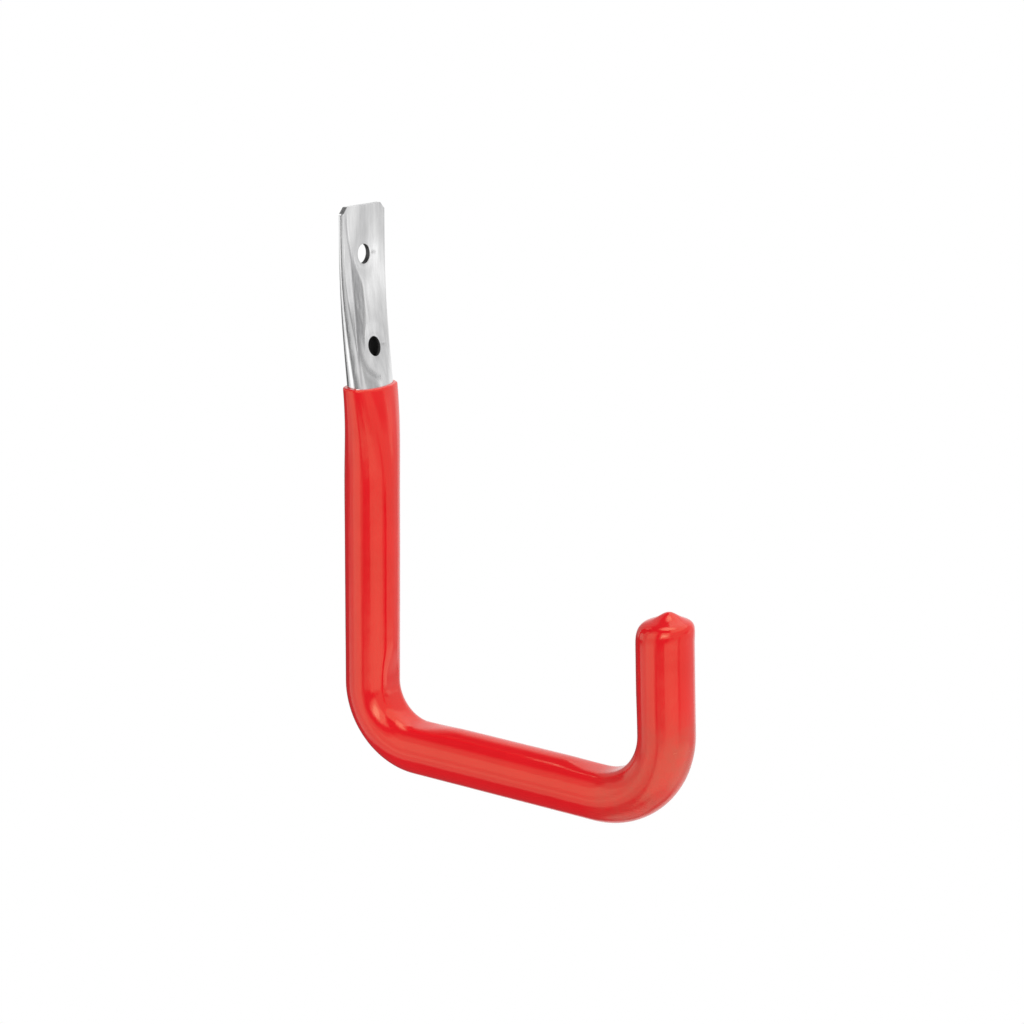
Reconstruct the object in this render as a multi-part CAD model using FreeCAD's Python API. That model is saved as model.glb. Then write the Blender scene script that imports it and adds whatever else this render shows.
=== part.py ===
import FreeCAD, Part
import math
import os

# Garage utility hook: a bent steel tube with a pressed mounting tab and a dipped vinyl coat.
# Millimetres. +Z is up, the wall is on the +Y side and the arm reaches out along -Y.
# The origin is midway between the two screw holes, on the back face of the tab.

# Tube and coat
tube_od = 19.05
tube_wall = 1.0
coat = 1.8

# Layout along the tube's middle line
leg_height = 221.0
arm_reach = 140.8
tip_length = 71.5
tip_lean = 2.9
leg_bend_radius = 24.6
tip_bend_radius = 28.9

# Pressed end: each length is measured down from the top of the tab
flat_length = 5.0
back_flat_length = 62.0
taper_length = 115.0
tab_setback = 5.7
tab_gap = 0.15
corner_clip = 3.5

# Screw holes
hole_d = 7.9
hole_spacing = 36.5
hole_from_top = 19.4

# Coat ends
bare_length = 71.7
rim_round = 0.7
dome_lap = 7.7
dome_height = 12.0
dome_fullness = 4.8
drip_offset = 1.9
drip_r = 4.7
drip_height = 3.3

# Worked out from the sizes above
tube_r = tube_od / 2
coat_r = tube_r + coat
wall_line = math.pi * (tube_od - tube_wall)
flat_thick = 2 * tube_wall + tab_gap
flat_from = leg_height - flat_length
back_flat_from = leg_height - back_flat_length
taper_from = leg_height - taper_length
coat_top = leg_height - bare_length
leg_y = -tab_setback
top_z = hole_from_top + hole_spacing / 2
arm_z = top_z - leg_height
lean = math.radians(tip_lean)
tip_turn = math.pi / 2 + lean
tip_bend_run = tip_bend_radius * math.tan(tip_turn / 2)

# Offsets of the three surfaces from the middle line of the tube's wall
BORE = -tube_wall / 2
STEEL = tube_wall / 2
SKIN = tube_wall / 2 + coat

# Directions and corners of the middle line
X_AXIS = FreeCAD.Vector(1, 0, 0)
UP = FreeCAD.Vector(0, 0, 1)
BACK = FreeCAD.Vector(0, 1, 0)
TIP_UP = FreeCAD.Vector(0, math.sin(lean), math.cos(lean))
TIP_OUT = FreeCAD.Vector(0, -math.cos(lean), math.sin(lean))
LEG_CORNER = FreeCAD.Vector(0, leg_y, arm_z)
TIP_CORNER = FreeCAD.Vector(0, leg_y - arm_reach, arm_z)
ROUND_SPLIT = math.radians(60)
LOFT_STATIONS = 9
DOME_SHARES = (1.0, 0.999, 0.996, 0.99, 0.98, 0.96, 0.93, 0.89, 0.83, 0.76,
               0.68, 0.59, 0.5, 0.41, 0.32, 0.24, 0.16, 0.09, 0.03)
OVERRUN = 1.0


def ease(t):
    """Smooth step from 0 to 1, with no kink in its bending at the ends."""
    t = min(max(t, 0.0), 1.0)
    return t ** 3 * (10 - 15 * t + 6 * t * t)


def spaced(low, high, count):
    return [low + (high - low) * i / (count - 1) for i in range(count)]


class Section:
    """Middle line of the wall across the leg: two end arcs and two face arcs, all tangent.

    A face is round at 0 flatness and straight at 1. The wall's own length is the same in every section.
    """

    def __init__(self, back, front, back_flatness, front_flatness):
        self.turns = [ROUND_SPLIT + (math.pi / 2 - ROUND_SPLIT) * f for f in (back_flatness, front_flatness)]
        rise = sum(self.crown(a) for a in self.turns)
        run = sum(self.face_length(a) for a in self.turns)
        thick = back - front - tube_wall
        self.spread = (wall_line - math.pi * thick) / (2 * run - math.pi * rise)
        self.end_r = (thick - self.spread * rise) / 2
        self.mid = back - tube_wall / 2 - self.end_r - self.spread * self.crown(self.turns[0])

    @staticmethod
    def crown(turn):
        """Height of a face's crown over the end arcs, for an end arc at unit distance."""
        return math.tan((math.pi / 2 - turn) / 2)

    @staticmethod
    def face_length(turn):
        """Length added by half a face, for an end arc at unit distance."""
        rest = math.pi / 2 - turn
        return rest / math.sin(rest) if rest > 1e-9 else 1.0

    def points(self, offset):
        """Ends and middles of the four arcs, as (x, back) pairs, from the front of the right-hand end."""
        r = self.end_r + offset
        back_turn, front_turn = self.turns
        right = (self.spread + r, self.mid)
        back = (0.0, self.mid + r + self.spread * self.crown(back_turn))
        front = (0.0, self.mid - r - self.spread * self.crown(front_turn))
        back_x = self.spread + r * math.cos(back_turn)
        back_y = self.mid + r * math.sin(back_turn)
        front_x = self.spread + r * math.cos(front_turn)
        front_y = self.mid - r * math.sin(front_turn)
        return [(front_x, front_y), right, (back_x, back_y), back,
                (-back_x, back_y), (-right[0], self.mid), (-front_x, front_y), front]

    def edges(self, offset, z):
        """The four edges at a height on the leg: right end, back, left end, front."""
        place = [on_leg(z) + X_AXIS * x + BACK * y for x, y in self.points(offset)]
        made = []
        for i in range(0, 8, 2):
            start, middle, end = place[i], place[i + 1], place[(i + 2) % 8]
            if (middle - (start + end) * 0.5).Length < 1e-7:
                made.append(Part.LineSegment(start, end).toShape())
            else:
                made.append(Part.Arc(start, middle, end).toShape())
        return made


def leg_section(z):
    """Section of the leg at a height z above the arm's middle line."""
    back = ease((z - taper_from) / (back_flat_from - taper_from))
    front = ease((z - taper_from) / (flat_from - taper_from))
    back_y = tube_r + (tab_setback - tube_r) * back
    front_y = -tube_r + (tab_setback - flat_thick + tube_r) * front
    return Section(back_y, front_y, back, front)


def on_leg(z):
    return LEG_CORNER + UP * z


def on_arm(y):
    return LEG_CORNER - BACK * y


def on_tip(s):
    return TIP_CORNER + TIP_UP * s


def disc(offset, origin, normal):
    radius = tube_r - tube_wall / 2 + offset
    return Part.Face(Part.Wire(Part.makeCircle(radius, origin, normal)))


def straight(offset, start, end):
    return disc(offset, start, end - start).extrude(end - start)


def bend(offset, start, direction, centre, turn):
    return disc(offset, start, direction).revolve(centre, X_AXIS, math.degrees(turn))


def half_open(offset, top):
    """Taper from the round tube up to the height where the back is flat."""
    wires = [Part.Wire(leg_section(z).edges(offset, z)) for z in spaced(taper_from, top, LOFT_STATIONS)]
    return Part.makeLoft(wires, True, False)


def flat_backed(offset, top):
    """Taper with a flat back: a loft round the ends and front, closed by a plane."""
    heights = spaced(back_flat_from, top, LOFT_STATIONS)
    wires = []
    for z in heights:
        right, back, left, front = leg_section(z).edges(offset, z)
        wires.append(Part.Wire([left, front, right]))
    skin = Part.makeLoft(wires, False, False)
    rings = [leg_section(z).edges(offset, z) for z in (heights[0], heights[-1])]
    plane_y = rings[0][1].Vertexes[0].Y
    rails = [e for e in skin.Edges if e.BoundBox.ZLength > 0.9 * (top - back_flat_from)]
    rails = [e for e in rails if all(abs(v.Y - plane_y) < 1e-5 for v in e.Vertexes)]
    back = Part.Face(Part.Wire(Part.__sortEdges__(rails + [ring[1] for ring in rings])))
    caps = [Part.Face(Part.Wire(ring)) for ring in rings]
    shell = Part.makeShell(skin.Faces + caps + [back])
    shell.sewShape()
    solid = Part.Solid(Part.Shell(shell.Faces))
    if solid.Volume < 0:
        solid.reverse()
    return solid


def tab(offset, top):
    face = Part.Face(Part.Wire(leg_section(flat_from).edges(offset, flat_from)))
    return face.extrude(UP * (top - flat_from))


def tube_run(offset, top, tip_end):
    """Solid bounded by one surface of the tube, from a height on the leg to a length on the tip."""
    leg_centre = on_leg(leg_bend_radius) - BACK * leg_bend_radius
    tip_centre = on_arm(arm_reach - tip_bend_run) + UP * tip_bend_radius
    bodies = [
        straight(offset, on_leg(leg_bend_radius), on_leg(taper_from)),
        bend(offset, on_leg(leg_bend_radius), UP, leg_centre, -math.pi / 2),
        straight(offset, on_arm(leg_bend_radius), on_arm(arm_reach - tip_bend_run)),
        bend(offset, on_arm(arm_reach - tip_bend_run), BACK, tip_centre, -tip_turn),
        straight(offset, on_tip(tip_bend_run), on_tip(tip_end)),
        half_open(offset, min(top, back_flat_from)),
    ]
    if top > back_flat_from:
        bodies.append(flat_backed(offset, min(top, flat_from)))
    if top > flat_from:
        bodies.append(tab(offset, top))
    return bodies[0].fuse(bodies[1:]).removeSplitter()


def corner_cutter(sign, half_width):
    """Prism that clips one top corner of the tab at 45 degrees."""
    side = sign * (half_width + OVERRUN)
    a = FreeCAD.Vector(side, -tube_od, top_z - corner_clip - OVERRUN)
    b = FreeCAD.Vector(side, -tube_od, top_z + OVERRUN)
    c = FreeCAD.Vector(sign * (half_width - corner_clip - OVERRUN), -tube_od, top_z + OVERRUN)
    return Part.Face(Part.makePolygon([a, b, c, a])).extrude(BACK * 2 * tube_od)


def make_steel(envelope):
    """The hollow tube: envelope less its bore, the screw holes and the clipped corners."""
    cutters = [tube_run(BORE, leg_height + OVERRUN, tip_length + OVERRUN)]
    half_width = leg_section(flat_from).points(STEEL)[1][0]
    for sign in (-1, 1):
        start = FreeCAD.Vector(0, -tube_od, sign * hole_spacing / 2)
        cutters.append(Part.makeCylinder(hole_d / 2, 2 * tube_od, start, BACK))
        cutters.append(corner_cutter(sign, half_width))
    steel = envelope
    for cutter in cutters:
        steel = steel.cut(cutter)
    return steel


def dome_ring(share):
    """Radius, height and outward shift of a ring over the closed end, at a share of the coat's radius."""
    crown = (1 - share ** dome_fullness) ** (1 / dome_fullness)
    drip = math.exp(-(share * coat_r / drip_r) ** 2)
    return share * coat_r, dome_height * crown + drip_height * drip, drip_offset * crown ** 3


def dome(base):
    """Closed end of the coat, drawn to the outer side and up to the point where the last drip set."""
    rings = [(coat_r, -2 * OVERRUN, 0.0), (coat_r, -OVERRUN, 0.0)]
    rings += [dome_ring(share) for share in DOME_SHARES]
    wires = []
    for r, s, shift in rings:
        wires.append(Part.Wire(Part.makeCircle(r, on_tip(base + s) + TIP_OUT * shift, TIP_UP)))
    return Part.makeLoft(wires, True, False), base + rings[0][1]


def rim(low):
    """Rounded open end of the coat, on the section at its lower side."""
    section = leg_section(low)
    wires = []
    for a in spaced(0.0, math.pi / 2, 5):
        offset = SKIN - rim_round * (1 - math.cos(a))
        wires.append(Part.Wire(section.edges(offset, low + rim_round * math.sin(a))))
    return Part.makeLoft(wires, True, False)


def make_sleeve(envelope):
    """The dipped coat: a skin over the envelope with a rounded rim and a closed end."""
    cap, cap_from = dome(tip_length - dome_lap)
    rim_from = coat_top - rim_round
    skin = tube_run(SKIN, rim_from, cap_from).fuse([cap, rim(rim_from)])
    return skin.removeSplitter().cut(envelope)


envelope = tube_run(STEEL, leg_height, tip_length)
steel_tube = make_steel(envelope)
vinyl_sleeve = make_sleeve(envelope)

os.makedirs("parts", exist_ok=True)
steel_tube.exportStep("parts/steel_tube.step")
vinyl_sleeve.exportStep("parts/vinyl_sleeve.step")
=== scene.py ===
import math
import bpy
import numpy as np
from mathutils import Matrix, Vector


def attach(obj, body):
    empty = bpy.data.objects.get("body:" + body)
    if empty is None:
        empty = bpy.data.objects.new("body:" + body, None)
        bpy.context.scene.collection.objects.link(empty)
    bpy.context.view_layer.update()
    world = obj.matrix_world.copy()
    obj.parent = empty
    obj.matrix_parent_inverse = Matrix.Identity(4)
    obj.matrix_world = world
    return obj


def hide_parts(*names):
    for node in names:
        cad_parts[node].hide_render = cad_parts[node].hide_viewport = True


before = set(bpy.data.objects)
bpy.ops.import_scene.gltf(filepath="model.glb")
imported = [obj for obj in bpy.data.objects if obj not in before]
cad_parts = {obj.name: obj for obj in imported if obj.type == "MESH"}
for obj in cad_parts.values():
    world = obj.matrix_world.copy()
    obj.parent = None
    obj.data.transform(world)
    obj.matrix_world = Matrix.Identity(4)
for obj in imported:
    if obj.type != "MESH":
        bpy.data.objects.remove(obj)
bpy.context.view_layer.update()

# Garage utility hook: plated steel tube with a pressed tab, dipped in red vinyl.
# Sizes are millimetres until a mesh is made, in the same frame as the solids.
MM = 0.001

# Tube and coat
tube_od = 19.05
tube_wall = 1.0
coat = 1.8

# Layout along the tube's middle line
leg_height = 221.0
arm_reach = 140.8
tip_length = 71.5
tip_lean = 2.9
leg_bend_radius = 24.6
tip_bend_radius = 28.9

# Pressed end, measured down from the top of the tab
flat_length = 5.0
back_flat_length = 62.0
taper_length = 115.0
tab_setback = 5.7
tab_gap = 0.15
corner_clip = 3.5

# Screw holes
hole_d = 7.9
hole_spacing = 36.5
hole_from_top = 19.4

# Coat ends
bare_length = 71.7
rim_round = 0.7
dome_lap = 7.7
dome_height = 12.0
dome_fullness = 4.8
drip_offset = 1.9
drip_r = 4.7
drip_height = 3.3

# Section of the tube, with the offsets of its surfaces from the middle line of the wall
tube_r = tube_od / 2
coat_r = tube_r + coat
wall_line = math.pi * (tube_od - tube_wall)
flat_thick = 2 * tube_wall + tab_gap
crown_slope = math.radians(30)
BORE = -tube_wall / 2
STEEL = tube_wall / 2
SKIN = tube_wall / 2 + coat

# Heights above the arm's middle line
flat_from = leg_height - flat_length
back_flat_from = leg_height - back_flat_length
taper_from = leg_height - taper_length
coat_top = leg_height - bare_length

# Places of the leg and of the tab's top in the frame
leg_y = -tab_setback
top_z = hole_from_top + hole_spacing / 2

# Distances along the middle line, from the top of the tab to the end of the tip
tip_turn = math.pi / 2 + math.radians(tip_lean)
tip_bend_run = tip_bend_radius * math.tan(tip_turn / 2)
rim_from = leg_height - coat_top
leg_bend_from = leg_height - leg_bend_radius
arm_from = leg_bend_from + leg_bend_radius * math.pi / 2
tip_bend_from = arm_from + arm_reach - leg_bend_radius - tip_bend_run
tip_from = tip_bend_from + tip_bend_radius * tip_turn
tip_end = tip_from + tip_length - tip_bend_run


def ease(t):
    """Smooth step from 0 to 1, with no kink in its bending at the ends."""
    t = np.clip(t, 0.0, 1.0)
    return t ** 3 * (10 - 15 * t + 6 * t * t)


def window(value, low, high, soft):
    """1 between low and high, falling off to 0 over a soft length outside them."""
    return ease((value - low + soft) / soft) * ease((high + soft - value) / soft)


def hump(value, centre, width):
    """1 at the centre, falling off to 0 on both sides."""
    return np.exp(-((value - centre) / width) ** 2)


def arc_run(slope):
    """Length of an arc for each unit of its chord, from the slope at its ends."""
    return 1 / np.sinc(slope / math.pi)


def section_arcs(z):
    """The four tangent arcs of the wall's middle line, at a height z above the arm.

    Gives the distance of the two end arcs' centres from the middle, their radius and their y,
    then the y of the front's crown and the slope at its ends, and the same for the back.
    """
    back = ease((z - taper_from) / (back_flat_from - taper_from))
    front = ease((z - taper_from) / (flat_from - taper_from))
    back_y = tube_r + (tab_setback - tube_r) * back
    front_y = -tube_r + (tab_setback - flat_thick + tube_r) * front
    back_slope = crown_slope * (1 - back)
    front_slope = crown_slope * (1 - front)
    thick = back_y - front_y - tube_wall
    rise = np.tan(back_slope / 2) + np.tan(front_slope / 2)
    run = arc_run(back_slope) + arc_run(front_slope)
    spread = (wall_line - math.pi * thick) / (2 * run - math.pi * rise)
    end_r = (thick - spread * rise) / 2
    back_y = back_y - tube_wall / 2
    front_y = front_y + tube_wall / 2
    end_y = back_y - end_r - spread * np.tan(back_slope / 2)
    return spread, end_r, end_y, front_y, front_slope, back_y, back_slope


def crown(w, slope, spread, end_r):
    """Arc of the front or the back at a distance w along it: x, depth, angle, and half of its length."""
    angle = np.sin(slope) / (spread + end_r * np.sin(slope)) * w
    x = w * np.sinc(angle / math.pi)
    depth = w * angle / 2 * np.sinc(angle / 2 / math.pi) ** 2
    return x, depth, angle, spread * arc_run(slope) + end_r * slope


def wall(w, z):
    """Middle line of the tube's wall across the leg, at a distance w round it from the middle of the front.

    z is the height above the arm. Gives x, y from the leg's axis and the outward direction there.
    """
    w, z = np.broadcast_arrays(np.asarray(w, float), np.asarray(z, float))
    side = np.where(w < 0, -1.0, 1.0)
    w = np.abs(w)
    v = wall_line / 2 - w
    spread, end_r, end_y, front_y, front_slope, back_y, back_slope = section_arcs(z)
    front_x, front_depth, front_angle, front_half = crown(w, front_slope, spread, end_r)
    back_x, back_depth, back_angle, back_half = crown(v, back_slope, spread, end_r)
    turn = (w - front_half) / end_r - (math.pi / 2 - front_slope)
    where = [w <= front_half, v < back_half]
    x = np.select(where, [front_x, back_x], spread + end_r * np.cos(turn))
    y = np.select(where, [front_y + front_depth, back_y - back_depth], end_y + end_r * np.sin(turn))
    out_x = np.select(where, [np.sin(front_angle), np.sin(back_angle)], np.cos(turn))
    out_y = np.select(where, [-np.cos(front_angle), np.cos(back_angle)], np.sin(turn))
    return side * x, y, side * out_x, out_y


def path(l):
    """Point on the tube's middle line, outer side of the bends and direction of travel, at a distance l."""
    l = np.asarray(l, float)
    first = np.clip((l - leg_bend_from) / leg_bend_radius, 0, math.pi / 2)
    second = np.clip((l - tip_bend_from) / tip_bend_radius, 0, tip_turn)
    turn = first + second
    zero = np.zeros_like(turn)
    out = np.stack([zero, np.cos(turn), -np.sin(turn)], -1)
    along = np.stack([zero, -np.sin(turn), -np.cos(turn)], -1)
    y = leg_y - leg_bend_radius * (1 - np.cos(first)) - np.clip(l - arm_from, 0, tip_bend_from - arm_from)
    z = top_z - np.clip(l, None, leg_bend_from) - leg_bend_radius * np.sin(first)
    y = y - tip_bend_radius * np.sin(second)
    z = z + tip_bend_radius * (1 - np.cos(second))
    past = np.clip(l - tip_from, 0, None)
    y = y - np.sin(math.pi / 2 + tip_turn) * past
    z = z - np.cos(math.pi / 2 + tip_turn) * past
    return np.stack([zero, y, z], -1), out, along


def tube_points(l, x, b):
    """Points at distances l along the tube, x across it and b towards the outer side of the bends."""
    point, out = path(l)[:2]
    return point + out * b[..., None] + np.stack([x, 0 * x, 0 * x], -1)


def spread_rows(stops, end):
    """Positions through a list of (position, step) stops to an end, each step held up to the next stop."""
    rows = []
    reached = [stop[0] for stop in stops[1:]] + [end]
    for (low, step), high in zip(stops, reached):
        count = max(1, round(abs(high - low) / step))
        rows += [low + (high - low) * i / count for i in range(count)]
    return np.array(rows + [end])


def make_object(name, points, faces, sharp_degrees):
    mesh = bpy.data.meshes.new(name)
    mesh.from_pydata((np.asarray(points) * MM).tolist(), [], [list(map(int, f)) for f in faces])
    mesh.validate()
    mesh.polygons.foreach_set("use_smooth", [True] * len(mesh.polygons))
    mesh.set_sharp_from_angle(angle=math.radians(sharp_degrees))
    mesh.update()
    thing = bpy.data.objects.new(name, mesh)
    bpy.context.scene.collection.objects.link(thing)
    return thing


def add_values(piece, name, domain, values):
    """Stores a number for each point or face of a piece, for its material to read."""
    piece.data.attributes.new(name, "FLOAT", domain).data.foreach_set("value", values)


# Vinyl coat: grid of the skin and of the lining that lies against the tube.
# A value that ends in row is the step from one row of a grid to the next.
COAT_COLUMNS = 128
RIM_RINGS = 5
DOME_RINGS = 48
coat_sharp_degrees = 60
rim_row = 0.5
bend_row = 1.0
straight_row = 1.5
rim_rows_to = rim_from + 8.0
tip_rows_to = tip_from + 12.0
lining_gap = 0.02
lining_taper_to = rim_from + 45.0
lining_taper_row = 2.0
lining_bend_row = 3.0
lining_straight_row = 20.0

# Vinyl coat: flattened inside of the bends, which starts a lead before each bend
bend_lead = 20.0
inner_press = 1.25
press_soft = 0.6

# Vinyl coat: sags, as a wandering wave (length, swing, phase) and waves that turn round the tube
# (share, length, turns, phase). Their middle keeps them inward of the exact surface.
coat_wave = 0.07
sag_wander = (9.1, 1.3, 0.4)
SAGS = [(1.0, 15.7, 2, 1.1), (0.35, 4.3, -3, 0.7)]
sag_middle = 0.58
sag_swing = 0.2

# Vinyl coat: rubbed patch round the tip's bend, stronger on its outer side, which faces down; partly real
# dulling, partly painted shade
rub_shade_from = tip_bend_from + 14.0
rub_shade_to = tip_from - 4.0
rub_shade_soft = 20.0
rub_shade_least = 0.3
rub_shade_outer = 0.6


def press_bends(b, l, radius):
    """Flattens the inner side of the bends a little, as a bent tube does."""
    at_bend = window(l, leg_bend_from, arm_from, bend_lead) + window(l, tip_bend_from, tip_from, bend_lead)
    return b + at_bend * press_soft * np.log1p(np.exp((inner_press - radius - b) / press_soft))


def coat_relief(l, angle):
    """Shallow sags of the dipped coat, inward from the exact surface."""
    length, swing, phase = sag_wander
    total = np.sin(l / length + swing * np.sin(angle + phase))
    for share, length, turns, phase in SAGS:
        total = total + share * np.sin(l / length + turns * angle + phase)
    return -coat_wave * (sag_middle + sag_swing * total)


def coat_points(l, w, offset, relief):
    """Grid of points at distances l along the tube and w round it, offset from the wall's middle line."""
    l, w = np.meshgrid(l, w, indexing="ij")
    x, b, out_x, out_b = wall(w, np.maximum(leg_height - l, taper_from))
    x = x + out_x * offset
    b = b + out_b * offset
    if relief:
        b = press_bends(b, l, tube_r - tube_wall / 2 + offset)
        grow = 1 + coat_relief(l, np.arctan2(x, -b)) / np.hypot(x, b)
        x = x * grow
        b = b * grow
    return tube_points(l, x, b)


def coat_rim(around):
    """Rings of the rounded rim, from the tube outwards."""
    rings = []
    for a in np.linspace(math.pi / 2, 0, RIM_RINGS, endpoint=False):
        offset = SKIN - rim_round * (1 - math.cos(a))
        row = np.array([rim_from + rim_round * (1 - math.sin(a))])
        rings.append(coat_points(row, around, offset, True))
    return rings


def dome_ring(share):
    """Height and outward shift of a ring over the closed end, at a share of the coat's radius."""
    bulge = (1 - share ** dome_fullness) ** (1 / dome_fullness)
    drip = math.exp(-(share * coat_r / drip_r) ** 2)
    return dome_height * bulge + drip_height * drip, drip_offset * bulge ** 3


def coat_dome(last):
    """Rings over the closed end, from the skin's last ring towards the drip point."""
    out, along = (v[0] for v in path(np.array([tip_end]))[1:])
    centre = last.mean(0)
    rings = []
    for share in np.sin(np.linspace(math.pi / 2, 0, DOME_RINGS, endpoint=False))[1:]:
        height, shift = dome_ring(share)
        rings.append(((last - centre) * share + centre + along * height + out * shift)[None])
    return rings


def closed_sheet(rings):
    """Points and faces of a stack of rings, with a fan of triangles over its first and its last ring."""
    rows, columns = rings.shape[:2]
    points = rings.reshape(-1, 3)
    count = len(points)
    points = np.concatenate([points, [rings[0].mean(0), rings[-1].mean(0)]])
    i, j = np.meshgrid(np.arange(rows - 1), np.arange(columns), indexing="ij")
    k = (j + 1) % columns
    quads = np.stack([i * columns + j, i * columns + k, (i + 1) * columns + k, (i + 1) * columns + j], -1)
    faces = quads.reshape(-1, 4).tolist()
    for j in range(columns):
        k = (j + 1) % columns
        faces.append([k, j, count])
        faces.append([count - columns + j, count - columns + k, count + 1])
    return points, faces


def coat_wear_and_shade(l, w):
    """Dulling by rubbing, with painted shade, mostly on the outer side of the tip's bend, which faces down.
    """
    outer = 0.5 - 0.5 * np.cos(2 * math.pi * w / wall_line)
    return window(l, rub_shade_from, rub_shade_to, rub_shade_soft)[:, None] * (rub_shade_least + rub_shade_outer * outer)


def make_coat():
    around = (np.arange(COAT_COLUMNS) / COAT_COLUMNS - 0.5) * wall_line
    rows = spread_rows([(rim_from + rim_round, rim_row), (rim_rows_to, straight_row),
                        (leg_bend_from - bend_lead, bend_row), (arm_from + bend_lead, straight_row),
                        (tip_bend_from - bend_lead, bend_row), (tip_rows_to, straight_row)],
                       tip_end - dome_lap)
    lining_rows = spread_rows([(rim_from, lining_taper_row), (lining_taper_to, lining_straight_row),
                               (leg_bend_from, lining_bend_row), (arm_from, lining_straight_row),
                               (tip_bend_from, lining_bend_row), (tip_from, lining_straight_row)],
                              tip_end + lining_gap)
    lining = coat_points(lining_rows, around, STEEL + lining_gap, False)
    rim = coat_rim(around)
    skin = coat_points(rows, around, SKIN, True)
    points, faces = closed_sheet(np.concatenate([lining[::-1]] + rim + [skin] + coat_dome(skin[-1])))
    piece = make_object("dipped_coat", points, faces, coat_sharp_degrees)
    first = (len(lining) + len(rim)) * COAT_COLUMNS
    wear_and_shade = np.zeros(len(points))
    # Rubbed patch on the skin only; its darker colour is partly painted shade under the tip's bend
    wear_and_shade[first:first + len(rows) * COAT_COLUMNS] = coat_wear_and_shade(rows, around).ravel()
    add_values(piece, "dulled_and_shaded", "POINT", wear_and_shade)
    return piece


# Steel tube: grid, in which a square block of cells opens into each hole and blends out over a larger block.
# The rows under the coat are wider apart.
STEEL_COLUMNS = 168
HOLE_COLUMNS = 8
HOLE_ROWS = 4
BLEND_COLUMNS = 20
BLEND_ROWS = BLEND_COLUMNS * HOLE_ROWS // HOLE_COLUMNS
TINY = 1e-6
steel_sharp_degrees = 40
column_step = wall_line / STEEL_COLUMNS
hole_block = HOLE_COLUMNS * column_step
blend_block = BLEND_COLUMNS * column_step
hole_row = hole_block / HOLE_ROWS
under_rim = 6.0
lower_row = 1.0
middle_row = 0.9
upper_row = 0.6
edge_row = 0.2
edge_length = 0.6
hidden_taper_row = 4.0
hidden_bend_row = 3.0
hidden_straight_row = 25.0

# Steel tube: holes, the lower one first
hole_r = hole_d / 2
hole_depths = [hole_from_top + hole_spacing, hole_from_top]
hole_heights = [leg_height - depth for depth in hole_depths]
hole_dents = [0.45, 0.32]
dent_width = 4.2
lip_depth = 0.08
lip_width = 0.4

# Steel tube: marks on the front of the tab, by distance w from its middle and depth below its top. They
# shape the tab and also darken its plating as painted shade.
# A span is a low end, a high end and a soft length. A bend of a line is its first depth and its length.
side_fade = 3.0
crease_w = -11.4
crease_in = 3.2
crease_in_bend = (4, 22)
crease_out = 2.2
crease_out_bend = (30, 40)
crease_width = 0.5
crease_span = (7, 68, 6)
crease_depth = 0.14
band_edge = 0.5
band_least = 1.0
band_growth = 3.4
band_growth_bend = (20, 14)
band_loss = 0.5
band_loss_bend = (40, 14)
band_soft = 1.6
band_span = (26, 48, 12)
band_depth = 0.22
flow_r = 9.2
flow_opening = 0.3
flow_opens_from = 58.5
flow_width = 0.8
flow_span = (56, 68, 5)
flow_share = 0.6
nick_w = 6.2
nick_length = 1.5
nick_rise = 0.5
nick_slope = 0.1
nick_width = 0.35
nick_depth = 0.12
# How far each mark darkens the plating: painted shade in the crease, flow line and nicks, painted dark
# reflection along the band
mark_painted_shade = (0.7, 0.9, 0.7, 0.8)

# Steel tube: unevenness of the pressed face, as waves (share, length along z, length along w, phase)
steel_wave = 0.05
STEEL_WAVES = [(1.0, 5.3, 3.1, 0.6), (1.0, 8.9, -4.7, 2.0), (0.5, 3.1, 2.2, 0.0)]
wave_fade = 10.0
steel_inset = 0.004

# Steel tube: painted shade, how dark the walls of the holes, the bore and the cut edges at its two ends are
# painted
hole_shade = 1.0
bore_shade = 0.9
end_shade = 0.2


def hole_warp(p, q):
    """Opens a square block of the grid into a round hole, and keeps the grid beyond the blend as it is."""
    reach = np.maximum(np.maximum(np.abs(p), np.abs(q)), TINY)
    across = np.abs(p) >= np.abs(q)
    longer = np.where(across, p, q)
    longer = np.where(longer == 0, 1.0, longer)
    turn = math.pi / 4 * np.where(across, q, p) / longer
    angle = np.where(across, turn, math.pi / 2 - turn)
    ring_p = hole_r * np.cos(angle) * np.sign(longer)
    ring_q = hole_r * np.sin(angle) * np.sign(longer)
    share = np.clip((reach - hole_block) / (blend_block - hole_block), 0, 1)
    new_p = ring_p + (p / reach * blend_block - ring_p) * share
    new_q = ring_q + (q / reach * blend_block - ring_q) * share
    keep = (reach < hole_block - TINY) | (reach >= blend_block)
    return np.where(keep, p, new_p), np.where(keep, q, new_q)


def open_holes(w, z):
    """Moves the grid round the holes in both walls, and tells which points lie in a hole."""
    back = np.abs(w) > wall_line / 4
    p = np.where(back, w - np.sign(w) * wall_line / 2, w)
    inside = np.zeros(w.shape, bool)
    for height in hole_heights:
        q = z - height
        reach = np.maximum(np.abs(p), np.abs(q))
        near = reach < blend_block
        inside |= reach < hole_block + TINY
        new_p, new_q = hole_warp(p, q)
        w = np.where(near, w + (new_p - p), w)
        z = np.where(near, height + new_q, z)
    return w, z, inside


def clip_corners(w, z):
    """Lowers the top of the grid towards its sides, which cuts the tab's corners off at a slant."""
    half_width = float(wall(wall_line / 4, flat_from)[0]) + STEEL
    share = np.clip((z - flat_from) / flat_length, 0, 1)
    edge_x = np.abs(wall(w, np.maximum(z, taper_from))[0])
    return z - np.clip(edge_x - (half_width - corner_clip), 0, None) * share


def bend(down, start, length):
    """Share of a line's bend that is done at a depth below the tab's top."""
    return ease((down - start) / length)


def crease_line(down):
    """Where the edge of the flat front runs, across the tab, at a depth below its top."""
    return crease_w + crease_in * bend(down, *crease_in_bend) - crease_out * bend(down, *crease_out_bend)


def front_share(w):
    """1 on the front of the tab, falling off to 0 at its sides."""
    return ease((wall_line / 4 - np.abs(w)) / side_fade)


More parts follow.
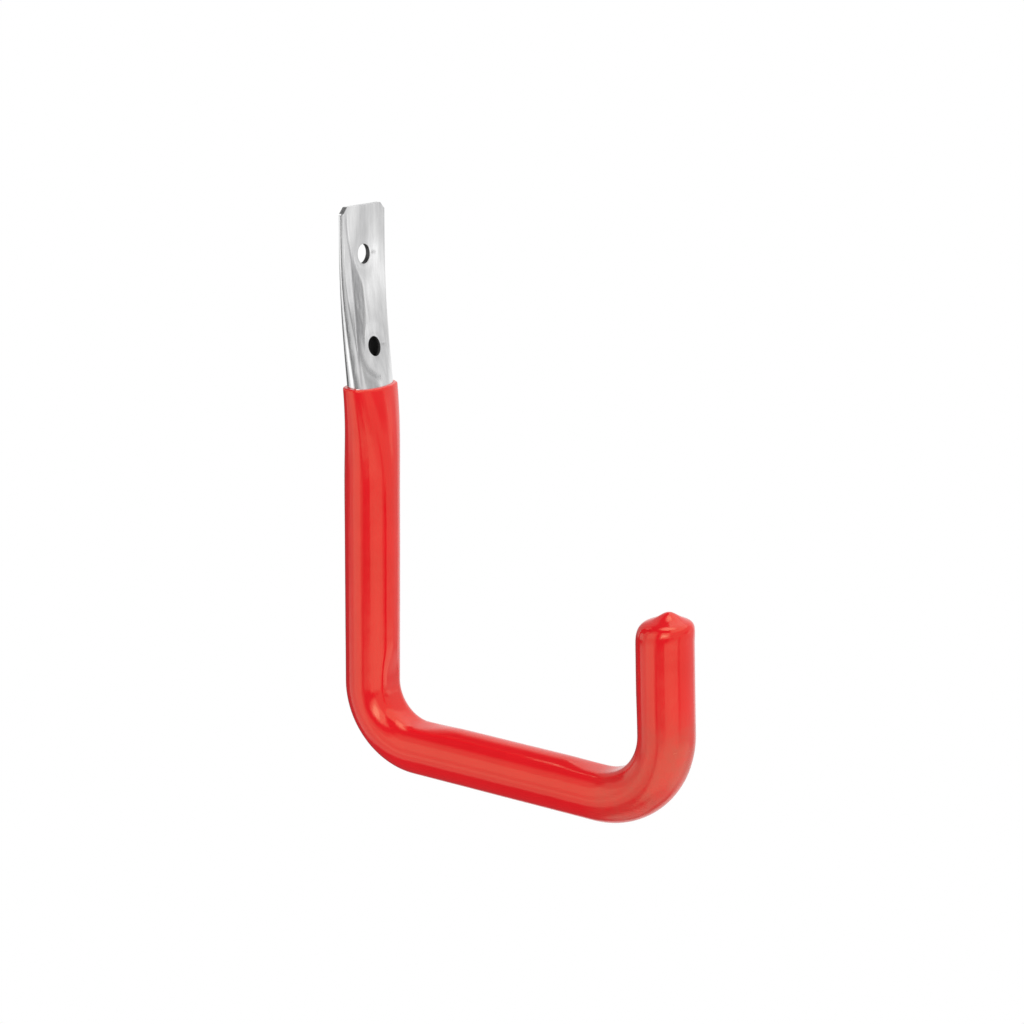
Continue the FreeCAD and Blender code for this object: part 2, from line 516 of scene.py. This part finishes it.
def tab_marks(w, down):
    """Marks on the front of the tab: crease, band along its pressed valley, flow line round the lower hole,
    nicks. The same marks carry painted shade and painted dark reflection in the plating's colour.
    """
    line = crease_line(down)
    crease = hump(w, line, crease_width) * window(down, *crease_span)
    loss = 1 - band_loss * bend(down, *band_loss_bend)
    width = band_least + band_growth * bend(down, *band_growth_bend) * loss
    band = window(w - line, band_edge, width, band_soft) * window(down, *band_span)
    flow_line = flow_r + flow_opening * np.clip(down - flow_opens_from, 0, None)
    reach = np.hypot(w, down - hole_depths[0])
    flow = hump(reach, flow_line, flow_width) * window(down, *flow_span) * (w < 0)
    nick = 0
    for depth in hole_depths:
        nick_line = depth - nick_rise + nick_slope * w
        nick = nick + hump(w, nick_w, nick_length) * hump(down, nick_line, nick_width)
    return [mark * front_share(w) for mark in (crease, band, flow, nick)]


def steel_relief(w, z):
    """Depth of the press and punch marks on the tab, inward from the exact surface."""
    down = leg_height - z
    front = front_share(w)
    crease, band, flow, nick = tab_marks(w, down)
    total = crease_depth * (crease + flow_share * flow) + band_depth * band + nick_depth * nick
    for depth, dent in zip(hole_depths, hole_dents):
        past = np.clip(np.hypot(w, down - depth) - hole_r, 0, None)
        total += front * (dent * hump(past, 0, dent_width) + lip_depth * hump(past, 0, lip_width))
    most = sum(wave[0] for wave in STEEL_WAVES)
    wave = sum(share * np.sin(z / a + w / b + phase) for share, a, b, phase in STEEL_WAVES)
    bare = ease((bare_length + under_rim - down) / wave_fade)
    return total + front * steel_wave / most * (most + wave) * bare + steel_inset


def steel_rows():
    """Heights of the grid's rows, from the end of the tip to the top of the tab."""
    hidden = spread_rows([(tip_end, hidden_straight_row), (tip_from, hidden_bend_row),
                          (tip_bend_from, hidden_straight_row), (arm_from, hidden_bend_row),
                          (leg_bend_from, hidden_straight_row),
                          (leg_height - taper_from, hidden_taper_row)],
                         rim_from + under_rim)
    half = BLEND_ROWS * hole_row
    lower, upper = hole_heights
    bare = spread_rows([(coat_top - under_rim, lower_row), (lower - half, hole_row),
                        (lower + half, middle_row), (upper - half, hole_row),
                        (upper + half, upper_row), (leg_height - edge_length, edge_row)],
                       leg_height)
    return np.concatenate([leg_height - hidden[:-1], bare])


def steel_surface(w, z, offset):
    """Points of the grid at an offset from the wall's middle line."""
    x, b, out_x, out_b = wall(w, np.maximum(z, taper_from))
    grow = offset - steel_relief(w, z)
    return tube_points(leg_height - z, x + out_x * grow, b + out_b * grow)


def steel_faces(inside):
    """Faces of the outside, the bore, the holes' walls and the two ends, with how much painted shade each
    face gets.
    """
    rows, columns = inside.shape
    size = rows * columns
    flags = inside.ravel()

    def corner(i, j):
        return i * columns + j % columns

    def ring(i, j):
        return [corner(i, j), corner(i, j + 1), corner(i + 1, j + 1), corner(i + 1, j)]

    cells = [(i, j) for i in range(rows - 1) for j in range(columns)]
    gone = {cell for cell in cells if flags[ring(*cell)].all()}
    faces = []
    shade = []
    for cell in cells:
        if cell not in gone:
            faces += [ring(*cell), [size + v for v in reversed(ring(*cell))]]
            shade += [0.0, bore_shade]
    walls = []
    for i, j in sorted(gone):
        a, b, c, d = ring(i, j)
        left = (i, (j - 1) % columns)
        right = (i, (j + 1) % columns)
        sides = [((i - 1, j), a, b), ((i + 1, j), c, d), (left, d, a), (right, b, c)]
        walls += [(start, end) for other, start, end in sides if other not in gone]
    ends = [(corner(0, j + 1), corner(0, j)) for j in range(columns)]
    ends += [(corner(rows - 1, j), corner(rows - 1, j + 1)) for j in range(columns)]
    faces += [[size + b, size + a, a, b] for a, b in walls + ends]
    shade += [hole_shade] * len(walls) + [end_shade] * len(ends)
    return faces, shade


def make_steel():
    around = (np.arange(STEEL_COLUMNS) - STEEL_COLUMNS // 2) * column_step
    z, w = np.meshgrid(steel_rows(), around, indexing="ij")
    w, z, inside = open_holes(w, z)
    z = clip_corners(w, z)
    points = np.concatenate([steel_surface(w, z, offset).reshape(-1, 3) for offset in (STEEL, BORE)])
    # Painted shade: the marks darken the tab's colour, stored with the points for the material
    marks = tab_marks(w, leg_height - z)
    tone = np.clip(sum(share * mark for share, mark in zip(mark_painted_shade, marks)), 0, 1)
    tone = np.tile(tone.ravel(), 2)
    faces, shade = steel_faces(inside)
    used = np.zeros(len(points), bool)
    for f in faces:
        used[f] = True
    number = np.cumsum(used) - 1
    piece = make_object("plated_tube", points[used], [number[f] for f in faces], steel_sharp_degrees)
    add_values(piece, "dulled_and_shaded", "POINT", tone[used])
    # How much painted shade each face gets, for the material
    add_values(piece, "cut_and_shade", "FACE", shade)
    return piece


coat_piece = make_coat()
steel_piece = make_steel()


# Materials: building blocks
def new_material(name):
    material = bpy.data.materials.new(name)
    material.use_nodes = True
    tree = material.node_tree
    return material, tree, tree.nodes["Principled BSDF"]


def add(tree, kind, **settings):
    node = tree.nodes.new(kind)
    for key, value in settings.items():
        setattr(node, key, value)
    return node


def attribute(tree, name):
    return add(tree, "ShaderNodeAttribute", attribute_name=name).outputs["Fac"]


def object_coords(tree, along_z=1.0):
    """The object's own coordinates, on which a pattern is stretched along z where along_z is below 1."""
    coords = add(tree, "ShaderNodeTexCoord")
    mapping = add(tree, "ShaderNodeMapping")
    mapping.inputs["Scale"].default_value = (1.0, 1.0, along_z)
    tree.links.new(coords.outputs["Object"], mapping.inputs["Vector"])
    return mapping.outputs["Vector"]


def noise(tree, coords, scale, detail, rough=0.5):
    node = add(tree, "ShaderNodeTexNoise")
    node.inputs["Scale"].default_value = scale
    node.inputs["Detail"].default_value = detail
    node.inputs["Roughness"].default_value = rough
    tree.links.new(coords, node.inputs["Vector"])
    return node.outputs["Fac"]


def remap(tree, value, source, target):
    """Stretches a source range of values onto a target range."""
    node = add(tree, "ShaderNodeMapRange")
    for key, number in zip(("From Min", "From Max", "To Min", "To Max"), (*source, *target)):
        node.inputs[key].default_value = number
    tree.links.new(value, node.inputs["Value"])
    return node.outputs["Result"]


def blend_colour(tree, factor, low, high):
    node = add(tree, "ShaderNodeMix", data_type="RGBA")
    for slot, value in zip((s for s in node.inputs if s.type == "RGBA"), (low, high)):
        if isinstance(value, tuple):
            slot.default_value = (*value, 1)
        else:
            tree.links.new(value, slot)
    tree.links.new(factor, node.inputs["Factor"])
    return next(o for o in node.outputs if o.type == "RGBA")


def calc(tree, operation, *values):
    """One step of arithmetic on numbers and sockets."""
    node = add(tree, "ShaderNodeMath", operation=operation)
    for slot, value in zip(node.inputs, values):
        if isinstance(value, (int, float)):
            slot.default_value = value
        else:
            tree.links.new(value, slot)
    return node.outputs[0]


def bump(tree, height, strength, distance, below=None):
    node = add(tree, "ShaderNodeBump")
    node.inputs["Strength"].default_value = strength
    node.inputs["Distance"].default_value = distance
    tree.links.new(height, node.inputs["Height"])
    if below:
        tree.links.new(below, node.inputs["Normal"])
    return node.outputs["Normal"]


# Materials: linear colours and ranges of roughness. Noise scales are repeats to a metre.
red_deep = (0.73, 0.007, 0.014)
red_light = (0.79, 0.010, 0.018)
# Darker red of the rubbed patch: partly scuffed haze, partly painted shade under the tip's bend
red_rubbed_and_shaded = (0.46, 0.08, 0.055)
vinyl_rough = (0.09, 0.15)
vinyl_rubbed_rough = 0.3
vinyl_tint = (1.0, 0.97, 0.55, 1)
vinyl_ior = 1.58
plate_dull = (0.62, 0.62, 0.625)
plate_bright = (0.97, 0.97, 0.97)
# Dark grey that the tab's marks blend to: painted shade and painted dark reflection
plate_painted_shade = (0.30, 0.30, 0.305)
# Near-black of the holes' walls, the bore and the ends: painted shade
painted_shade_black = (0.04, 0.04, 0.04)
steel_cut_metallic = 0.2
steel_rough = (0.15, 0.25)
steel_dull_rough = 0.2


def vinyl_material():
    """Glossy red that changes slowly in tone, with patches dulled by rubbing and darkened with painted
    shade, and a faintly uneven skin.
    """
    material, tree, shader = new_material("red_vinyl")
    coords = object_coords(tree)
    tone = remap(tree, noise(tree, coords, scale=45, detail=3), (0.3, 0.7), (0, 1))
    patch_breakup = noise(tree, coords, scale=170, detail=4, rough=0.6)
    dulling_and_shade = calc(tree, "MULTIPLY", attribute(tree, "dulled_and_shaded"), remap(tree, patch_breakup, (0.35, 0.65), (0.25, 0.6)))
    # The rubbed patch blends towards a darker red: painted shade under the tip's bend, along with the
    # scuffing
    colour = blend_colour(tree, dulling_and_shade, blend_colour(tree, tone, red_deep, red_light), red_rubbed_and_shaded)
    tree.links.new(colour, shader.inputs["Base Color"])
    gloss = noise(tree, coords, scale=120, detail=4, rough=0.6)
    dull = calc(tree, "MULTIPLY", dulling_and_shade, vinyl_rubbed_rough)
    rough = calc(tree, "ADD", remap(tree, gloss, (0.25, 0.75), vinyl_rough), dull)
    tree.links.new(rough, shader.inputs["Roughness"])
    shader.inputs["Specular Tint"].default_value = vinyl_tint
    shader.inputs["IOR"].default_value = vinyl_ior
    normal = bump(tree, noise(tree, coords, scale=130, detail=2), strength=0.2, distance=0.0004)
    fine = noise(tree, coords, scale=1400, detail=2)
    normal = bump(tree, fine, strength=0.03, distance=0.0001, below=normal)
    tree.links.new(normal, shader.inputs["Normal"])
    return material


def steel_material():
    """Bright plating with streaks and patches along the tube, marks on the tab darkened with painted shade
    and painted dark reflection, and the faces in the holes, the bore and the ends darkened with painted
    shade.
    """
    material, tree, shader = new_material("plated_steel")
    cut_and_shade = attribute(tree, "cut_and_shade")
    streaks = noise(tree, object_coords(tree, along_z=0.12), scale=260, detail=4, rough=0.6)
    patches = noise(tree, object_coords(tree, along_z=0.4), scale=110, detail=2)
    grain = noise(tree, object_coords(tree, along_z=0.06), scale=900, detail=4, rough=0.65)
    streaks = remap(tree, streaks, (0.32, 0.68), (0, 0.5))
    patches = remap(tree, patches, (0.36, 0.64), (0, 0.5))
    plate = blend_colour(tree, calc(tree, "ADD", streaks, patches), plate_dull, plate_bright)
    # Painted shade: the tab's marks darken the plating towards a dark grey and dull it
    dulling_and_shade = calc(tree, "MULTIPLY", attribute(tree, "dulled_and_shaded"), remap(tree, grain, (0.3, 0.7), (0.45, 1.0)))
    plate = blend_colour(tree, dulling_and_shade, plate, plate_painted_shade)
    # Painted shade: the holes' walls, the bore and the ends blend towards near-black and turn matte
    tree.links.new(blend_colour(tree, cut_and_shade, plate, painted_shade_black), shader.inputs["Base Color"])
    tree.links.new(remap(tree, cut_and_shade, (0, 1), (1.0, steel_cut_metallic)), shader.inputs["Metallic"])
    dull = calc(tree, "MULTIPLY", calc(tree, "MAXIMUM", dulling_and_shade, cut_and_shade), steel_dull_rough)
    rough = calc(tree, "ADD", remap(tree, grain, (0.3, 0.7), steel_rough), dull)
    tree.links.new(rough, shader.inputs["Roughness"])
    normal = bump(tree, grain, strength=0.12, distance=0.0001)
    fine = noise(tree, object_coords(tree), scale=900, detail=3)
    normal = bump(tree, fine, strength=0.1, distance=0.0001, below=normal)
    tree.links.new(normal, shader.inputs["Normal"])
    return material


for piece, node, slot, material in ((coat_piece, "vinyl_sleeve", "red_vinyl", vinyl_material()),
                                    (steel_piece, "steel_tube", "plated_steel", steel_material())):
    piece.data.materials.append(material)
    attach(piece, "root")
    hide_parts(node)

# Camera, in metres
view_turn = math.radians(57.0)
view_pitch = math.radians(14.887)
view_roll = math.radians(0.732)
focal_px = 2249.453
picture_px = 1024
sensor_mm = 36.0
near_clip = 0.01
camera_place = (-0.710662, -0.534943, 0.148882)
level_forward = Vector((math.sin(view_turn), math.cos(view_turn), 0))
level_right = Vector((math.cos(view_turn), -math.sin(view_turn), 0))
level_up = Vector((0, 0, 1))
forward = level_forward * math.cos(view_pitch) - level_up * math.sin(view_pitch)
upward = level_up * math.cos(view_pitch) + level_forward * math.sin(view_pitch)
rightward = level_right * math.cos(view_roll) + upward * math.sin(view_roll)
upward = upward * math.cos(view_roll) - level_right * math.sin(view_roll)
camera_data = bpy.data.cameras.new("camera")
camera_data.sensor_width = sensor_mm
camera_data.lens = focal_px / picture_px * sensor_mm
camera_data.clip_start = near_clip
camera = bpy.data.objects.new("camera", camera_data)
axes = Matrix((rightward, upward, -forward)).transposed().to_4x4()
camera.matrix_world = Matrix.Translation(camera_place) @ axes
bpy.context.scene.collection.objects.link(camera)
bpy.context.scene.camera = camera

# Studio: soft patches of the surroundings. Each has the two ends of its azimuth, which is 0 on the camera's
# side and grows to the right, the two ends of its elevation, and the width of its soft edge, all in degrees,
# and then its strength.
OVERHEAD = [(-200, 200, 71, 100, 18, 3.2)]
LEFT_SOFTBOX = [
    (-102, -42, -20, 30, 8, 0.75),
    (-84, -47, -22, -12.6, 2.4, 1.4),
    (-84, -36, -16.8, -12, 3, 0.7),
    (-84, -48, -15, 0, 4, 1.05),
    (-84, -49, -3, 28, 6, 1.4),
    (-84, -48, 20, 46, 18, 0.8),
]
LEFT_REAR = [(-138, -98, -10.5, 8, 4, 1.05), (-190, -130, -12, 46, 14, 0.45)]
FRONT_LAMP = [(-28, 10, -2, 38, 10, 1.9), (-25, 0, 3, 21, 10, 4.4)]
FRONT_LOW = [(-6, 46, -22, -13, 6, 1.2), (-22, 46, -24, -17.4, 2, 0.8), (8, 36, -22, -14, 6, 1.4)]
RIGHT_WALL = [(8, 190, -22, 72, 8, 0.75), (12, 190, 34, 72, 12, 1.5)]
RIGHT_STRIPS = [(90, 106, -10.5, 2, 4, 1.25), (106, 115, -6, 1, 4, 1.1)]
TABLE = [
    (-116, -42, -38, -16, 7, 0.95),
    (-36, 100, -60, -19, 8, 1.4),
    (-15, 100, -24, -18, 4, 1.5),
    (96, 150, -52, -20, 14, 0.9),
    (0, 110, -78, -55, 12, 0.8),
]
PANELS = OVERHEAD + LEFT_SOFTBOX + LEFT_REAR + FRONT_LAMP + FRONT_LOW + RIGHT_WALL + RIGHT_STRIPS + TABLE
base_level = 0.1

# Studio: darker patches, with the share of the light that each takes away
SHADES = [
    (70, 98, -3, 6, 6, 0.6),
    (8, 28, -11, -4, 5, 0.5),
    (47, 55, -18.3, -9, 3, 0.5),
    (125, 195, -24, -2, 12, 0.35),
]

# Studio: where the white backdrop shows in glossy surfaces
BACKDROP = [(132, 200, -60, 40, 12), (-200, -170, -60, 40, 12)]


def soft_step(tree, value, low, high):
    node = add(tree, "ShaderNodeMapRange", interpolation_type="SMOOTHSTEP")
    node.inputs["From Min"].default_value = low
    node.inputs["From Max"].default_value = high
    tree.links.new(value, node.inputs["Value"])
    return node.outputs["Result"]


def along_axis(tree, direction, axis):
    node = add(tree, "ShaderNodeVectorMath", operation="DOT_PRODUCT")
    tree.links.new(direction, node.inputs[0])
    node.inputs[1].default_value = axis
    return node.outputs["Value"]


def patch(tree, angles, az_low, az_high, el_low, el_high, soft):
    """1 inside a patch of the surroundings, falling off over a soft edge."""
    mask = 1.0
    for angle, low, high in zip(angles, (az_low, el_low), (az_high, el_high)):
        rising = soft_step(tree, angle, low - soft / 2, low + soft / 2)
        falling = soft_step(tree, angle, high + soft / 2, high - soft / 2)
        mask = calc(tree, "MULTIPLY", calc(tree, "MULTIPLY", rising, falling), mask)
    return mask


def light_level(tree, angles):
    """Strength of the light from each direction."""
    level = base_level
    for *edges, value in PANELS:
        level = calc(tree, "MAXIMUM", calc(tree, "MULTIPLY", patch(tree, angles, *edges), value), level)
    for *edges, value in SHADES:
        kept = calc(tree, "SUBTRACT", 1.0, calc(tree, "MULTIPLY", patch(tree, angles, *edges), value))
        level = calc(tree, "MULTIPLY", level, kept)
    return level


def white_share(tree, angles):
    """1 where a ray sees the white background: from the camera, past glass, or in gloss at the backdrop."""
    rays = add(tree, "ShaderNodeLightPath").outputs
    behind = 0.0
    for edges in BACKDROP:
        behind = calc(tree, "MAXIMUM", patch(tree, angles, *edges), behind)
    seen = calc(tree, "MULTIPLY", rays["Is Glossy Ray"], behind)
    seen = calc(tree, "MAXIMUM", seen, rays["Is Camera Ray"])
    return calc(tree, "MAXIMUM", seen, rays["Is Transmission Ray"])


def make_studio():
    world = bpy.data.worlds.new("studio")
    world.use_nodes = True
    tree = world.node_tree
    tree.nodes.clear()
    direction = add(tree, "ShaderNodeTexCoord").outputs["Generated"]
    side = along_axis(tree, direction, level_right)
    toward = along_axis(tree, direction, -level_forward)
    rise = calc(tree, "ARCSINE", along_axis(tree, direction, level_up))
    angles = [calc(tree, "DEGREES", calc(tree, "ARCTAN2", side, toward)), calc(tree, "DEGREES", rise)]
    light = add(tree, "ShaderNodeBackground")
    light.inputs["Color"].default_value = (1, 1, 1, 1)
    tree.links.new(light_level(tree, angles), light.inputs["Strength"])
    white = add(tree, "ShaderNodeBackground")
    white.inputs["Color"].default_value = (1, 1, 1, 1)
    mix = add(tree, "ShaderNodeMixShader")
    tree.links.new(white_share(tree, angles), mix.inputs[0])
    tree.links.new(light.outputs[0], mix.inputs[1])
    tree.links.new(white.outputs[0], mix.inputs[2])
    tree.links.new(mix.outputs[0], add(tree, "ShaderNodeOutputWorld").inputs["Surface"])
    return world


bpy.context.scene.world = make_studio()
bpy.context.scene.view_settings.view_transform = "Standard"

# Floor, in metres, far enough below to stay out of the picture
floor_place = (0, -0.07, -2.3)
floor_radius = 0.7
floor_corners = 96
floor_grey = (0.7, 0.7, 0.7, 1)
floor_rough = 0.9
bpy.ops.mesh.primitive_circle_add(vertices=floor_corners, radius=floor_radius, fill_type="NGON",
                                  location=floor_place)
floor = bpy.context.object
floor.name = "floor"
floor_material, _, floor_shader = new_material("floor_pale")
floor_shader.inputs["Base Color"].default_value = floor_grey
floor_shader.inputs["Roughness"].default_value = floor_rough
floor.data.materials.append(floor_material)
